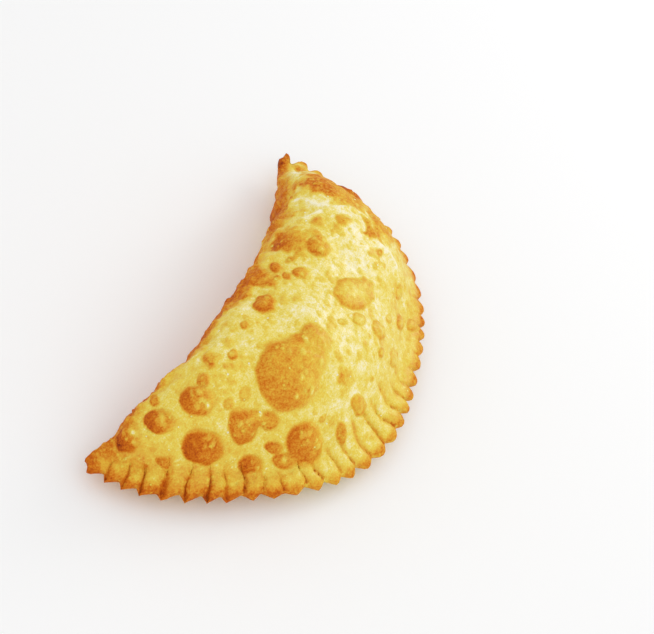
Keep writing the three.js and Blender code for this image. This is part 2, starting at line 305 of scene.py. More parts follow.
# The grid: columns from tip to tip, rows over the top, back underneath and up the rim's edge, which
# bulges away from one of the top's first rows
grid = {"columnsPerTooth": 10, "columnGather": 0.45, "topRows": 192, "underRows": 56, "edgeRows": 5,
        "edgeBulge": 0.5, "edgeFromRow": 3, "measureRows": 500}


def columnAlong():  # columns gather in the creases, at the whole tooth numbers
    tooth = np.linspace(0, borek["teeth"], round(borek["teeth"] * grid["columnsPerTooth"]) + 1)
    return (tooth - grid["columnGather"] * np.sin(2 * np.pi * tooth) / (2 * np.pi)) / borek["teeth"]


def evenRows(along, rows, side):
    # shares of the way in from the rim that lie evenly along each column's surface, found from
    # its length up to many points, without the teeth, so that neighbouring rows stay in line;
    # each column gets a range of its own, to look all up at once
    fine = np.linspace(0, 1, grid["measureRows"])
    x, y = planPoint(*np.broadcast_arrays(along, fine[None]), toothed=0)
    steps = np.linalg.norm(np.diff(np.stack([x, y, heightsAt(x, y)[side]], -1), axis=1), axis=-1)
    gone = np.concatenate([0 * along, np.cumsum(steps, 1)], 1)
    ranges = 2.0 * np.arange(len(along))[:, None]
    wanted = ranges + np.linspace(0, 1, rows)
    known = ranges + gone / gone[:, -1:]
    inward = np.interp(wanted.ravel(), known.ravel(), np.broadcast_to(fine, known.shape).ravel())
    return inward.reshape(wanted.shape)


def loopGrid():
    # each column is a closed loop: top from rim to fold, under side back to the rim, then the
    # rim's thin edge as a half round from the under side up to the top
    along = columnAlong()[:, None]
    topX, topY = planPoint(*np.broadcast_arrays(along, evenRows(along, grid["topRows"], 0)))
    underX, underY = planPoint(*np.broadcast_arrays(along, evenRows(along, grid["underRows"], 1)[:, ::-1]))
    relief, crease = pleatRelief(topX, topY)
    top = np.stack([topX, topY, heightsAt(topX, topY)[0] + relief], -1)
    under = np.stack([underX, underY, heightsAt(underX, underY)[1]], -1)
    turn = np.linspace(0, np.pi, grid["edgeRows"] + 2)[1:-1]
    lower, upper = under[:, -1:], top[:, :1]
    outward = unit((lower - top[:, [grid["edgeFromRow"]]]) * np.array([1, 1, 0]))
    rise = (0.5 - 0.5 * np.cos(turn))[None, :, None]
    edge = lower + (upper - lower) * rise + grid["edgeBulge"] * outward * np.sin(turn)[None, :, None]
    loops = np.concatenate([top, under, edge], 1)
    # browning and painted shade of the creases, on the top's rows
    creases = np.zeros(loops.shape[:2])
    creases[:, :grid["topRows"]] = crease
    return loops, creases


def gridNormals(loops):  # cross product of the two grid directions, which points outwards
    across = np.gradient(loops, axis=0)
    around = np.roll(loops, -1, 1) - np.roll(loops, 1, 1)
    return unit(np.cross(across, around))


# Blisters: place over the table, half length, half width, turn, rise, browning, how much less of
# it on the pale side, which is towards the key light so that this is partly painted shade, and pale middle
blisters = {
    "shown": (
        (-26.5, -34.4, 10.2, 9.6, 0, 2.1, 0.45, 0.20, 0.0),
        (-19.6, -36.0, 7.2, 6.8, 0, 1.8, 0.41, 0.16, 0.0),
        (-14.2, -35.6, 5.2, 4.9, 158, 1.4, 0.40, 0.15, 0.1),
        (-17.0, -32.2, 2.4, 1.8, 11, 0.4, 0.60, 0.10, 0.0),
        (-15.3, -34.3, 2.8, 2.2, 158, 0.4, 0.34, 0.00, 0.0),
        (11.8, -38.7, 8.9, 5.2, 155, 1.4, 0.42, 0.12, 0.7),
        (-50.6, -22.8, 6.0, 5.3, 112, 2.0, 0.64, 0.20, 0.0),
        (-33.3, -45.4, 7.2, 5.5, 92, 1.7, 0.57, 0.20, 0.15),
        (-45.7, -16.1, 5.0, 4.2, 120, 1.5, 0.56, 0.28, 0.0),
        (-40.2, -15.0, 2.5, 1.9, 36, 0.7, 0.44, 0.10, 0.0),
        (-42.6, -29.9, 5.6, 4.3, 82, 1.5, 0.54, 0.21, 0.2),
        (-39.9, -31.8, 3.9, 3.0, 130, 1.1, 0.48, 0.18, 0.1),
        (-38.1, -34.6, 3.5, 2.8, 123, 1.1, 0.56, 0.14, 0.3),
        (-52.7, -9.7, 4.2, 3.1, 98, 1.3, 0.66, 0.28, 0.0),
        (-57.0, -4.5, 4.1, 3.5, 168, 1.3, 0.64, 0.30, 0.0),
        (-45.2, -35.3, 3.9, 3.1, 130, 1.3, 0.57, 0.18, 0.1),
        (-39.5, -39.0, 3.1, 2.0, 130, 0.7, 0.58, 0.14, 0.0),
        (-39.3, -42.6, 3.4, 2.6, 116, 1.0, 0.56, 0.20, 0.2),
        (-9.3, -18.7, 4.2, 3.2, 25, 1.3, 0.64, 0.18, 0.3),
        (17.6, -23.7, 3.8, 3.2, 0, 1.1, 0.54, 0.24, 0.2),
        (6.2, -23.2, 2.4, 2.0, 159, 0.7, 0.50, 0.18, 0.3),
        (5.6, -16.1, 2.0, 1.4, 37, 0.6, 0.58, 0.14, 0.0),
        (3.1, -20.0, 1.7, 1.3, 23, 0.4, 0.52, 0.14, 0.2),
        (-19.7, -17.6, 1.6, 1.2, 27, 0.4, 0.50, 0.12, 0.2),
        (-29.6, -18.6, 1.9, 1.5, 22, 0.6, 0.60, 0.10, 0.9),
        (-53.1, -18.3, 1.3, 1.0, 0, 0.6, 0.74, 0.00, 0.0),
        (-47.4, -5.4, 2.8, 1.5, 39, 0.7, 0.58, 0.14, 0.0),
        (-57.4, -15.3, 2.3, 1.6, 131, 0.6, 0.52, 0.14, 0.0),
        (-42.0, -23.9, 1.6, 1.4, 0, 0.4, 0.40, 0.10, 0.4),
        (2.9, -43.4, 3.2, 2.0, 159, 0.7, 0.36, 0.10, 0.8),
        (6.8, -49.0, 4.2, 2.8, 154, 1.0, 0.42, 0.12, 0.9),
        (21.1, -53.3, 3.5, 2.4, 153, 1.0, 0.42, 0.10, 0.9),
        (26.0, -56.6, 2.7, 1.9, 164, 0.8, 0.42, 0.10, 0.7),
        (28.2, -49.0, 2.9, 1.8, 9, 0.7, 0.36, 0.10, 0.8),
        (-2.2, -39.9, 2.1, 1.1, 134, 0.4, 0.34, 0.10, 0.6),
        (16.1, -50.1, 2.0, 1.3, 164, 0.4, 0.32, 0.10, 0.6),
        (1.5, -52.1, 2.2, 1.5, 155, 0.7, 0.40, 0.10, 0.6),
        (-15.4, -54.4, 3.9, 2.9, 111, 1.0, 0.43, 0.14, 0.3),
        (-24.0, -53.1, 3.8, 1.9, 73, 0.8, 0.47, 0.12, 0.0),
        (7.7, -55.6, 3.8, 2.8, 149, 0.8, 0.35, 0.10, 0.9),
        (-27.2, -47.2, 1.5, 1.2, 0, 0.4, 0.40, 0.10, 0.5),
        (-38.0, -26.6, 2.2, 1.8, 0, 0.4, 0.32, 0.08, 0.0),
    ),
    # low scorched patches along the fold, on the far slope and on the far shoulder, as far as browning;
    # some of those along the fold are darker in part as painted shadow
    "scorched": (
        (17.5, -14.6, 6.2, 4.8, 55, 0.4, 0.60),
        (5.6, -15.1, 2.2, 1.7, 53, 0.3, 0.58),
        (1.0, -12.8, 5.0, 3.6, 56, 0.4, 0.68),
        (-5.4, -11.4, 5.0, 3.4, 56, 0.4, 0.64),
        (-10.7, -10.2, 5.0, 3.0, 58, 0.4, 0.64),
        (-18.8, -8.6, 5.4, 2.8, 56, 0.3, 0.64),
        (-28.8, -6.8, 5.4, 2.4, 59, 0.3, 0.60),
        (-40.0, -4.8, 4.0, 2.0, 60, 0.3, 0.46),
        (35.3, -7.0, 8.0, 3.4, 40, 0.3, 0.62),
        (29.9, -9.6, 4.8, 2.8, 52, 0.3, 0.58),
        (46.5, -20.0, 12.5, 9.6, 92, 0.4, 0.54),
        (45.0, -36.5, 10.0, 7.0, 130, 0.4, 0.42),
        (62.0, -4.4, 2.6, 1.6, 60, 0.2, 0.50),
        (-33.4, -13.8, 2.6, 2.0, 60, 0.3, 0.54),
        (31.8, -25.9, 3.6, 2.2, 136, 0.4, 0.50),
        (26.9, -20.1, 2.4, 2.0, 117, 0.3, 0.40),
        (30.5, -14.6, 2.0, 1.4, 32, 0.2, 0.38),
        (31.3, -38.9, 2.3, 1.3, 160, 0.3, 0.56),
        (-15.2, -48.0, 3.4, 2.5, 141, 0.3, 0.40),
        (-6.4, -54.0, 1.7, 1.0, 134, 0.3, 0.44),
    ),
    "scorchFade": 0.14,
    # blisters drawn for the sides that the front view doesn't show, and small bubbles for the top;
    # draws are the kinds of draw for radius, tone, turn, width and pale middle
    "hidden": {"count": 46, "tries": 4, "facing": -0.1, "fromRim": 5, "radius": (2.0, 5.5),
               "tone": (0.42, 0.66), "toneLean": 1, "slope": 0.18, "fade": 0.18, "hollow": 0.4,
               "draws": (13, 14, 15, 16, 17)},
    "bubbles": {"count": 1300, "fromRim": 4, "fromFold": 1, "radius": (0.6, 1.9),
                "tone": (0.18, 0.33), "toneLean": 2, "slope": 0.15, "fade": 0.1, "hollow": 0.6,
                "draws": (23, 24, 26, 25, 27)},
    "widths": (0.7, 1),  # of those drawn, as shares of their length
    # outlines: sizes and depths of their unevenness, and their softness on the dark and the pale side
    "ragged": ((9.0, 0.10), (4.0, 0.05)), "torn": ((7.0, 0.4), (3.0, 0.3), (1.4, 0.25)),
    "frayed": ((1.8, 0.5),), "frayedFrom": 2.0,  # its depth is a share of at least this length
    "softEdges": (0.13, 0.45), "bubbleEdges": (0.15, 0.35), "scorchEdges": (0.4, 0.6), "softLength": 5.0,
    "noEdge": 9.0,  # distance past an edge where there is none
    # caps: how round they are, their roughness, and how far off and turned away their points can be
    "cap": 0.8, "rough": ((1.7, 0.22),), "nearReach": 1.8, "nearFacing": 0.1,
    # browning: the side towards the key light that is paler, the most that it changes on the dark side,
    # these partly painted shade; its rim, and the pale middle
    "paleAndLitSide": (0.7, -0.7, 0.2), "darkAndShadedSide": 0.16, "darkRing": 0.06, "ringFrom": (0.6, 1), "toneBlend": 6,
    "hollowSize": 0.7, "hollowShift": -0.15, "hollowCrisp": 0.6,
    # pale pimples on the blisters that fade
    "pimpleFade": 0.13, "pimpleShare": 0.08, "pimpleMost": 100, "pimpleReach": 0.75,
    "pimpleTurns": (-120, 130), "pimpleRadius": (0.8, 1.5), "pimpleWidth": 0.7, "pimpleRise": 0.3,
    "pimplePale": (0.08, 0.24), "pimpleEdge": (0.4, 1.2),
}


def nearestOnTop(loops, x, y):  # column and row of the top's grid point that lies nearest over the table
    top = loops[:, :grid["topRows"]]
    nearest = np.argmin((top[..., 0] - x) ** 2 + (top[..., 1] - y) ** 2)
    return np.unravel_index(nearest, top.shape[:2])


def listedBlisters(loops, rows, ends=()):  # the rows, with grid points for places and more columns
    return [(*nearestOnTop(loops, x, y), *rest, *ends) for x, y, *rest in rows]


def drawnBlisters(places, index, look):
    # a row for each place, with its shape and tone drawn between the ends given; squares make the
    # small ones, and pale ones where the tone leans that way, the most common
    ofRadius, ofTone, ofTurn, ofWidth, ofHollow = (draw(index, kind) for kind in look["draws"])
    radius = mixed(*look["radius"], ofRadius ** 2)
    width = radius * mixed(*blisters["widths"], ofWidth)
    tone = mixed(*look["tone"], ofTone ** look["toneLean"])
    fade = np.full(len(index), look["fade"])
    shapes = zip(radius, width, 180 * ofTurn, look["slope"] * radius, tone, fade, look["hollow"] * ofHollow)
    return [(*place, *shape) for place, shape in zip(places, shapes)]


def hiddenBlisters(loops, normals, viewFrom):  # places drawn over the grid, kept where they face away
    look = blisters["hidden"]
    index = np.arange(look["count"] * look["tries"])
    column = (draw(index, 11) * (loops.shape[0] - 1)).astype(int)
    row = (draw(index, 12) * loops.shape[1]).astype(int)
    x, y = loops[column, row, :2].T
    facesAway = normals[column, row] @ viewFrom < look["facing"]
    kept = index[facesAway & (placeOnPlan(x, y)[1] > look["fromRim"])][:look["count"]]
    return drawnBlisters(zip(column[kept], row[kept]), kept, look)


def smallBubbles(loops):  # places drawn evenly over the plan, then found on the top of the grid
    look = blisters["bubbles"]
    index = np.arange(look["count"])
    x = (draw(index, 21) * 2 - 1) * borek["rimRadius"]
    y = -draw(index, 22) * borek["rimRadius"]
    fromRim, fromFold = placeOnPlan(x, y)[1:]
    kept = index[(fromRim > look["fromRim"]) & (fromFold > look["fromFold"])]
    return drawnBlisters([nearestOnTop(loops, x[i], y[i]) for i in kept], kept, look)


def pleatDots(loops):  # places drawn along the inner ends of the first pleats
    index = np.arange(pleats["dotCount"])
    angle = rimAngle(mixed(*pleats["dotTeeth"], draw(index, 61)) / borek["teeth"])
    inward = pleatLength(np.degrees(angle)) + mixed(*pleats["dotPast"], draw(index, 62))
    away = rimRadius(angle) - inward
    radius = mixed(*pleats["dotRadius"], draw(index, 63) ** 2)
    # each dot's painted highlight
    pale = mixed(*pleats["dotPaintedHighlight"], draw(index, 64))
    width, rise = pleats["dotWidth"] * radius, pleats["dotRise"] * radius
    rows = zip(-away * np.cos(angle), -away * np.sin(angle), radius, width, 0 * away, rise, pale)
    return listedBlisters(loops, rows, (0, 0))


def tangents(normal, towards):  # two directions square to a normal, the first towards a direction
    first = unit(towards - normal * (normal @ towards))
    return first, np.cross(normal, first)


def pimples(loops, normals, group):
    # a few pale bumps on each blister that fades, drawn round its middle, mostly on its pale side
    points = loops.reshape(-1, 3)
    made = []
    for number, (column, row, length, width, turn, rise, tone, fade, hollow) in enumerate(group):
        count = int(max(fade - blisters["pimpleFade"], 0) * length / blisters["pimpleShare"])
        index = blisters["pimpleMost"] * number + np.arange(count)
        away = width * blisters["pimpleReach"] * np.sqrt(draw(index, 51))
        around = np.radians(mixed(*blisters["pimpleTurns"], draw(index, 52)))
        toPale, across = tangents(normals[column, row], np.array(blisters["paleAndLitSide"]))
        offset = np.outer(away * np.cos(around), toPale) + np.outer(away * np.sin(around), across)
        radius = mixed(*blisters["pimpleRadius"], draw(index, 53) ** 2)
        pale = mixed(*blisters["pimplePale"], draw(index, 54))
        for place, size, paler in zip(loops[column, row] + offset, radius, pale):
            nearest = divmod(np.argmin(((points - place) ** 2).sum(-1)), loops.shape[1])
            shape = (size, blisters["pimpleWidth"] * size, 180 * paler, blisters["pimpleRise"] * size)
            made.append((*nearest, *shape, paler, 0, 0))
    return made


def ovals(loops, normals, ragged, softEdges, group):
    # for each blister in turn: the grid points near it, their distance from its middle as a share
    # of its size, in its own tangent plane and with an uneven outline, the softness of its edge,
    # which grows towards its pale side, its cap's height, its tone, which is darker away from the
    # pale side, partly browning and partly painted shade as that side is towards the key light, and the
    # share of its pale middle
    points, facing, uneven = loops.reshape(-1, 3), normals.reshape(-1, 3), ragged.reshape(-1)
    frayed = unevenness(points, blisters["frayed"], 16)
    for column, row, length, width, turn, rise, tone, fade, hollow in group:
        centre, normal = loops[column, row], normals[column, row]
        isNear = np.abs(points - centre).max(-1) < blisters["nearReach"] * length
        near = np.flatnonzero(isNear & (facing @ normal > blisters["nearFacing"]))
        alongX, alongY = tangents(normal, np.array([1.0, 0, 0]))
        toPale, across = tangents(normal, np.array(blisters["paleAndLitSide"]))
        offset = points[near] - centre
        first, second = offset @ alongX, offset @ alongY
        turned = np.radians(turn)
        lengthwise = (first * np.cos(turned) + second * np.sin(turned)) / length
        crosswise = (second * np.cos(turned) - first * np.sin(turned)) / width
        share = np.sqrt(lengthwise ** 2 + crosswise ** 2 + (offset @ normal / length) ** 2)
        share = np.abs(share * (1 + uneven[near]) + frayed[near] / max(length, blisters["frayedFrom"]))
        cap = rise * np.maximum(1 - share ** 2, 0) ** blisters["cap"]
        paler = np.clip(offset @ toPale / length, -1, 1)
        # darker away from the side towards the key light: partly browning, partly painted shade
        shadeAndBrowningAcross = np.where(paler > 0, fade, min(fade, blisters["darkAndShadedSide"]))
        soft = mixed(*softEdges, (paler + 1) / 2 * (1 - blisters["hollowCrisp"] * hollow))
        soft = soft * np.sqrt(blisters["softLength"] / length)
        fromHollow = np.hypot(paler - blisters["hollowShift"], offset @ across / width)
        hollowed = hollow * bell(fromHollow, blisters["hollowSize"])
        yield near, share, soft, cap, tone - shadeAndBrowningAcross * paler, hollowed


def stampSpots(loops, normals, ragged, browningAndPaintedLight, softEdges, group):
    # soft spots, browned towards their edge and their dark side, the latter partly painted shade;
    # overlapping caps join by the cube root of their summed cubes. Returns the relief and changes the
    # browning in place
    level = browningAndPaintedLight.reshape(-1)
    swell = np.zeros(level.size)
    for near, share, soft, cap, tone, hollow in ovals(loops, normals, ragged, softEdges, group):
        swell[near] += cap ** 3
        cover = 1 - smoothStep(share, 1 - soft, 1 + soft / 2)
        ringed = tone + blisters["darkRing"] * smoothStep(share, *blisters["ringFrom"])
        shade = mixed(ringed, level[near], hollow)
        level[near] = mixed(level[near], np.maximum(level[near], shade), cover)
    return np.cbrt(swell).reshape(browningAndPaintedLight.shape)


def stampBlisters(loops, normals, ragged, browningAndPaintedLight, group):
    # large blisters, whose edge the material draws: returns the relief, the distance past the
    # nearest edge in widths of its softness, and the tone, blended from the nearest blisters
    level = browningAndPaintedLight.reshape(-1)
    swell, tones, weights = np.zeros((3, level.size))
    edge = np.full(level.size, blisters["noEdge"])
    for near, share, soft, cap, tone, hollow in ovals(loops, normals, ragged, blisters["softEdges"], group):
        swell[near] += cap ** 3
        edge[near] = np.minimum(edge[near], (share - 1) / soft)
        weight = np.exp(-blisters["toneBlend"] * share)
        tones[near] += weight * mixed(tone, level[near], hollow)
        weights[near] += weight
    tones = np.where(weights > 0, tones / np.maximum(weights, 1e-9), level)
    return [values.reshape(browningAndPaintedLight.shape) for values in (np.cbrt(swell), edge, np.maximum(tones, level))]


def stampPimples(loops, normals, ragged, tone, group):
    # pale bumps: returns the relief, the highest cap at each point, and changes the tone in place
    level = tone.reshape(-1)
    swell = np.zeros(level.size)
    for near, share, soft, cap, pale, hollow in ovals(loops, normals, ragged, blisters["softEdges"], group):
        swell[near] = np.maximum(swell[near], cap)
        level[near] -= np.maximum(pale, 0) * (1 - smoothStep(share, *blisters["pimpleEdge"]))
    return swell.reshape(tone.shape)


# Unevenness of the dough: slow waves as height, wave numbers along X and Y and phase; its other
# layers as size and height in millimetres
lumps = {
    "waves": ((0.45, 0.16, 0.11, 0.4), (0.35, -0.10, 0.24, 2.1), (0.22, 0.33, -0.19, 4.4)),
    "dents": ((7.0, 0.26),), "grain": ((1.3, 0.10),),
    "foldRough": ((5.0, 1.0), (2.2, 0.7), (1.2, 0.35)), "foldWidth": 6,
    # less of it on the seal and underneath, none at the edges and where the borek rests
    "edgeFade": 9, "sealShare": 0.35, "sealInward": (3, 12), "underShare": 0.6, "underInward": (0, 4),
    "restHeights": (0.1, 3),
    # pebbles, mostly on the far side, with webs between them, which the material whitens as painted sheen
    "pebbleSize": 2.4, "pebbleHeight": 0.24, "pebbleMiddle": 0.5, "pebbleWarp": ((3.5, 0.9),),
    "farDirection": (0.6, -0.8), "farFrom": (-5, 35), "nearPebbles": 0.4, "leastPebbles": 0.3,
    "pebbleInward": (3, 9), "paintedSheenWebEdge": (0.25, 0.55),
    "ridges": (  # thin raised wrinkles, as points over the table
        ((35.7, -9.7), (35.6, -13.2), (34.1, -18.0), (35.5, -21.9),
         (39.1, -25.4), (40.0, -28.5), (38.8, -30.8)),
        ((38.8, -30.8), (34.0, -36.2), (33.4, -40.0), (33.6, -43.6), (28.8, -49.9), (28.4, -53.0)),
        ((25.8, -15.5), (29.5, -18.3), (33.7, -21.2)),
        ((20.4, -42.2), (18.3, -43.6), (15.0, -45.3)),
    ),
    # the wrinkles' width, height, painted highlight along their crests, and the warp of their course
    "ridgeWidth": 0.8, "ridgeHeight": 0.5, "ridgePaintedHighlight": 0.11, "ridgeWarp": ((5.0, 1.2),),
}


def farSide(x, y):  # smooth step from 0 on the near left to 1 on the far right of the body
    alongX, alongY = lumps["farDirection"]
    return smoothStep(alongX * x + alongY * y, *lumps["farFrom"])


def ridgeShare(x, y):  # 1 on the crest of a thin wrinkle, a bell shape across it
    nearest = np.full(x.shape, np.inf)
    for points in lumps["ridges"]:
        for (startX, startY), (endX, endY) in zip(points, points[1:]):
            runX, runY = endX - startX, endY - startY
            share = np.clip(((x - startX) * runX + (y - startY) * runY) / (runX ** 2 + runY ** 2), 0, 1)
            nearest = np.minimum(nearest, np.hypot(x - startX - share * runX, y - startY - share * runY))
    return bell(nearest, lumps["ridgeWidth"])


def doughRelief(loops, isTop):
    # sum of slow waves, dents, grain, roughness along the fold and pebbles, which are highest in
    # their middles. Also gives the share of the webs between the pebbles, where painted sheen goes
    x, y = loops[..., 0], loops[..., 1]
    fromRim, fromFold = placeOnPlan(x, y)[1:]
    inner = smoothStep(np.minimum(fromRim, fromFold), 0, lumps["edgeFade"])
    body = mixed(lumps["sealShare"], 1, smoothStep(fromRim, *lumps["sealInward"]))
    relief = inner * sum(height * np.sin(p * x + q * y + phase) for height, p, q, phase in lumps["waves"])
    relief = relief + body * unevenness(loops, lumps["dents"], 1) + unevenness(loops, lumps["grain"], 2)
    rough = unevenness(loops, lumps["foldRough"], 3)
    relief = relief + rough * bell(fromFold, lumps["foldWidth"]) * body
    warp = np.stack([unevenness(loops, lumps["pebbleWarp"], kind) for kind in (6, 7, 8)], -1)
    fromMiddle = pebbles(loops + warp, lumps["pebbleSize"], 4)
    pebbled = mixed(lumps["nearPebbles"], 1, farSide(x, y)) * smoothStep(fromRim, *lumps["pebbleInward"])
    height = lumps["pebbleHeight"] * mixed(lumps["leastPebbles"], 1, pebbled) * body
    relief = relief + height * (lumps["pebbleMiddle"] - fromMiddle)
    under = lumps["underShare"] * smoothStep(fromRim, *lumps["underInward"])
    return np.where(isTop, relief, under * relief), pebbled * smoothStep(fromMiddle, *lumps["paintedSheenWebEdge"])


# Browning that isn't a blister's: soft patches, the fold, the rim's edge and the seal near the tip,
# with painted shadow along the fold, painted shade in the creases and painted sheen
searingAndPaintedLight = {
    "pale": 0.21, "most": 0.6, "creases": 0.7, "underside": 0.24, "undersideInward": (1, 12),
    "patches": (  # place over the table, half length, half width and browning
        (-66.0, 1.0, 7.0, 5.0, 0.40),
        (-50.0, -2.0, 12.0, 3.5, 0.14),
        (25.5, -35.5, 8.0, 7.0, -0.08),
        (-22.0, -56.0, 9.0, 6.0, -0.06),
        (-62.5, -8.5, 5.0, 5.0, 0.12),
        (-9.0, -31.0, 6.0, 5.0, -0.06),
        (50.0, -3.0, 10.0, 4.0, -0.25),
        (15.0, -46.5, 4.5, 4.0, -0.05),
        (-6.0, -45.0, 7.0, 5.0, 0.03),
    ),
    # along the fold: the band's width, its browning, darkened in part as painted shadow, and its patchiness
    "foldBand": 2.4, "foldBrowningAndShadow": 0.9, "foldPatches": ((6.0, 0.9),),
    "rimBand": 1.8, "rimBrown": (0.5, 0.75),  # at the far end and near the tip
    "sealBrown": 0.17, "sealInward": (5.4, 10.8), "sealEnds": (35, 60),
    # painted sheen: whiter dough high up, where it faces the key light
    "paintedSheenAmount": 0.08, "paintedSheenFacing": (0.78, -0.42, 0.4), "paintedSheenFrom": (0.2, 0.65), "paintedSheenHeights": (17, 27),
}


def searAndPaintLight(loops, normals, creases, isTop):
    # pale dough, whitened by painted sheen where it faces the key light, browned by bell-shaped patches,
    # along the fold (partly painted shadow) and the rim's edge, in the creases (partly painted shade) and
    # on the under side; the browning levels off as it adds up
    x, y, z = np.moveaxis(loops, -1, 0)
    angle, fromRim, fromFold = placeOnPlan(x, y)
    nearTip = 1 - smoothStep(np.degrees(angle), *searingAndPaintedLight["sealEnds"])
    brown = sum(strength * bell(x - middleX, length) * bell(y - middleY, width)
                for middleX, middleY, length, width, strength in searingAndPaintedLight["patches"])
    patchy = 1 + unevenness(loops, searingAndPaintedLight["foldPatches"], 41)
    # browning along the fold, part of it painted shadow
    brown = brown + searingAndPaintedLight["foldBrowningAndShadow"] * bell(fromFold, searingAndPaintedLight["foldBand"]) * patchy
    brown = brown + mixed(*searingAndPaintedLight["rimBrown"], nearTip) * bell(fromRim, searingAndPaintedLight["rimBand"])
    brown = brown + searingAndPaintedLight["sealBrown"] * nearTip * (1 - smoothStep(fromRim, *searingAndPaintedLight["sealInward"]))
    # browning and painted shade in the creases
    brown = brown + searingAndPaintedLight["creases"] * creases
    under = searingAndPaintedLight["underside"] * smoothStep(fromRim, *searingAndPaintedLight["undersideInward"])
    brown = brown + np.where(isTop, 0, under)
    # painted sheen: the top is whitened where it faces the key light, only high up
    facing = normals @ unit(np.array(searingAndPaintedLight["paintedSheenFacing"]))
    paintedSheen = searingAndPaintedLight["paintedSheenAmount"] * smoothStep(facing, *searingAndPaintedLight["paintedSheenFrom"]) * isTop
    paintedSheen = paintedSheen * smoothStep(z, *searingAndPaintedLight["paintedSheenHeights"])
    return searingAndPaintedLight["pale"] - paintedSheen + searingAndPaintedLight["most"] * (1 - np.exp(-brown / searingAndPaintedLight["most"]))


def raiseDough(loops, creases, viewFrom):
    # moves the grid along its normals by the sum of the dough's relief, its wrinkles, bubbles,
    # scorched patches, blisters and dots by the pleats, and works out the browning with its painted
    # light: sheen, highlights on wrinkles and dots, shade in creases and on blister sides, shadow by the
    # fold
    normals = gridNormals(loops)
    isTop = np.broadcast_to(np.arange(loops.shape[1]) < grid["topRows"], loops.shape[:2])
    x, y, z = np.moveaxis(loops, -1, 0)
    relief, paintedSheenWeb = doughRelief(loops, isTop)
    browningAndPaintedLight = searAndPaintLight(loops, normals, creases, isTop)
    warpX, warpY = (unevenness(loops, lumps["ridgeWarp"], kind) for kind in (9, 10))
    ridge = ridgeShare(x + warpX, y + warpY) * isTop
    relief = relief + lumps["ridgeHeight"] * ridge
    ragged, torn = (unevenness(loops, blisters[name], 5) for name in ("ragged", "torn"))
    bubbles = smallBubbles(loops)
    relief = relief + stampSpots(loops, normals, ragged, browningAndPaintedLight, blisters["bubbleEdges"], bubbles)
    scorched = listedBlisters(loops, blisters["scorched"], (blisters["scorchFade"], 0))
    relief = relief + stampSpots(loops, normals, torn, browningAndPaintedLight, blisters["scorchEdges"], scorched)
    large = hiddenBlisters(loops, normals, viewFrom) + listedBlisters(loops, blisters["shown"])
    swell, edge, tone = stampBlisters(loops, normals, ragged, browningAndPaintedLight, large)
    relief = relief + swell + stampPimples(loops, normals, ragged, tone, pimples(loops, normals, large))
    relief = relief + unevenness(loops, blisters["rough"], 17) * smoothStep(-edge, 0, 1)
    # the dots by the pleats, paled as painted highlights
    relief = relief + stampPimples(loops, normals, ragged, browningAndPaintedLight, pleatDots(loops))
    # painted highlight along the wrinkles' crests
    browningAndPaintedLight = browningAndPaintedLight - lumps["ridgePaintedHighlight"] * ridge
    relief = np.where(isTop, relief, relief * smoothStep(z, *lumps["restHeights"]))
    raised = loops + normals * relief[..., None]
    raised[..., 2] = np.maximum(raised[..., 2], 0)
    return raised, {"browningAndPaintedLight": browningAndPaintedLight, "paintedSheenWeb": paintedSheenWeb, "edge": edge, "tone": tone}


def closedMesh(name, loops, attributes):
    # joins the loops into quads and closes each tip with a fan of triangles round its middle
    columns, rows = loops.shape[:2]
    column, row = np.meshgrid(np.arange(columns - 1), np.arange(rows), indexing="ij")
    here, beside = column * rows + row, column * rows + (row + 1) % rows
    quads = np.stack([here, here + rows, beside + rows, beside], -1).reshape(-1, 4)
    points = loops.reshape(-1, 3)
    ring = np.arange(rows)
    following = (ring + 1) % rows
    last = (columns - 1) * rows
    nearFan = np.stack([np.full(rows, len(points)), ring, following], -1)
    farFan = np.stack([np.full(rows, len(points) + 1), last + following, last + ring], -1)
    points = np.concatenate([points, loops[[0, -1]].mean(1)])
    mesh = bpy.data.meshes.new(name)
    mesh.from_pydata(points.tolist(), [], quads.tolist() + nearFan.tolist() + farFan.tolist())
    mesh.polygons.foreach_set("use_smooth", np.ones(len(mesh.polygons), bool))
    for title, values in attributes.items():
        layer = mesh.attributes.new(title, "FLOAT", "POINT")
        ends = values[[0, -1]].mean(1)
        layer.data.foreach_set("value", np.concatenate([values.reshape(-1), ends]).astype(np.float32))
    mesh.update()
    return mesh


# Shader maths as Python expressions

class Wire:
    def __init__(self, tree, socket):
        self.tree, self.socket = tree, socket

    def node(self, kind, settings=None, inputs=None, output=0):
        made = self.tree.nodes.new(kind)
        for key, value in (settings or {}).items():
            setattr(made, key, value)
        for key, value in (inputs or {}).items():
            if isinstance(value, Wire):
                self.tree.links.new(value.socket, made.inputs[key])
            else:
                made.inputs[key].default_value = value
        return Wire(self.tree, made.outputs[output])

    def beside(self, output):  # another output of the same node
        return Wire(self.tree, self.socket.node.outputs[output])

    def math(self, operation, first, second=0.0):
        return self.node("ShaderNodeMath", {"operation": operation}, {0: first, 1: second})

    def __add__(self, other):
        return self.math("ADD", self, other)

    def __sub__(self, other):
        return self.math("SUBTRACT", self, other)

    def __rsub__(self, other):
        return self.math("SUBTRACT", other, self)

    def __mul__(self, other):
        return self.math("MULTIPLY", self, other)

    __radd__ = __add__
    __rmul__ = __mul__

    def step(self, low, high):  # smooth step from low to high
        settings = {"interpolation_type": "SMOOTHSTEP"}
        return self.node("ShaderNodeMapRange", settings, {"Value": self, 1: low, 2: high})

    def ramp(self, stops):  # colours at the places given, straight between them
        made = self.node("ShaderNodeValToRGB", None, {0: self})
        band = made.socket.node.color_ramp
        while len(band.elements) < len(stops):
            band.elements.new(1)
        for element, (place, colour) in zip(band.elements, stops):
            element.position = place
            element.color = (*linear(colour), 1)
        return made


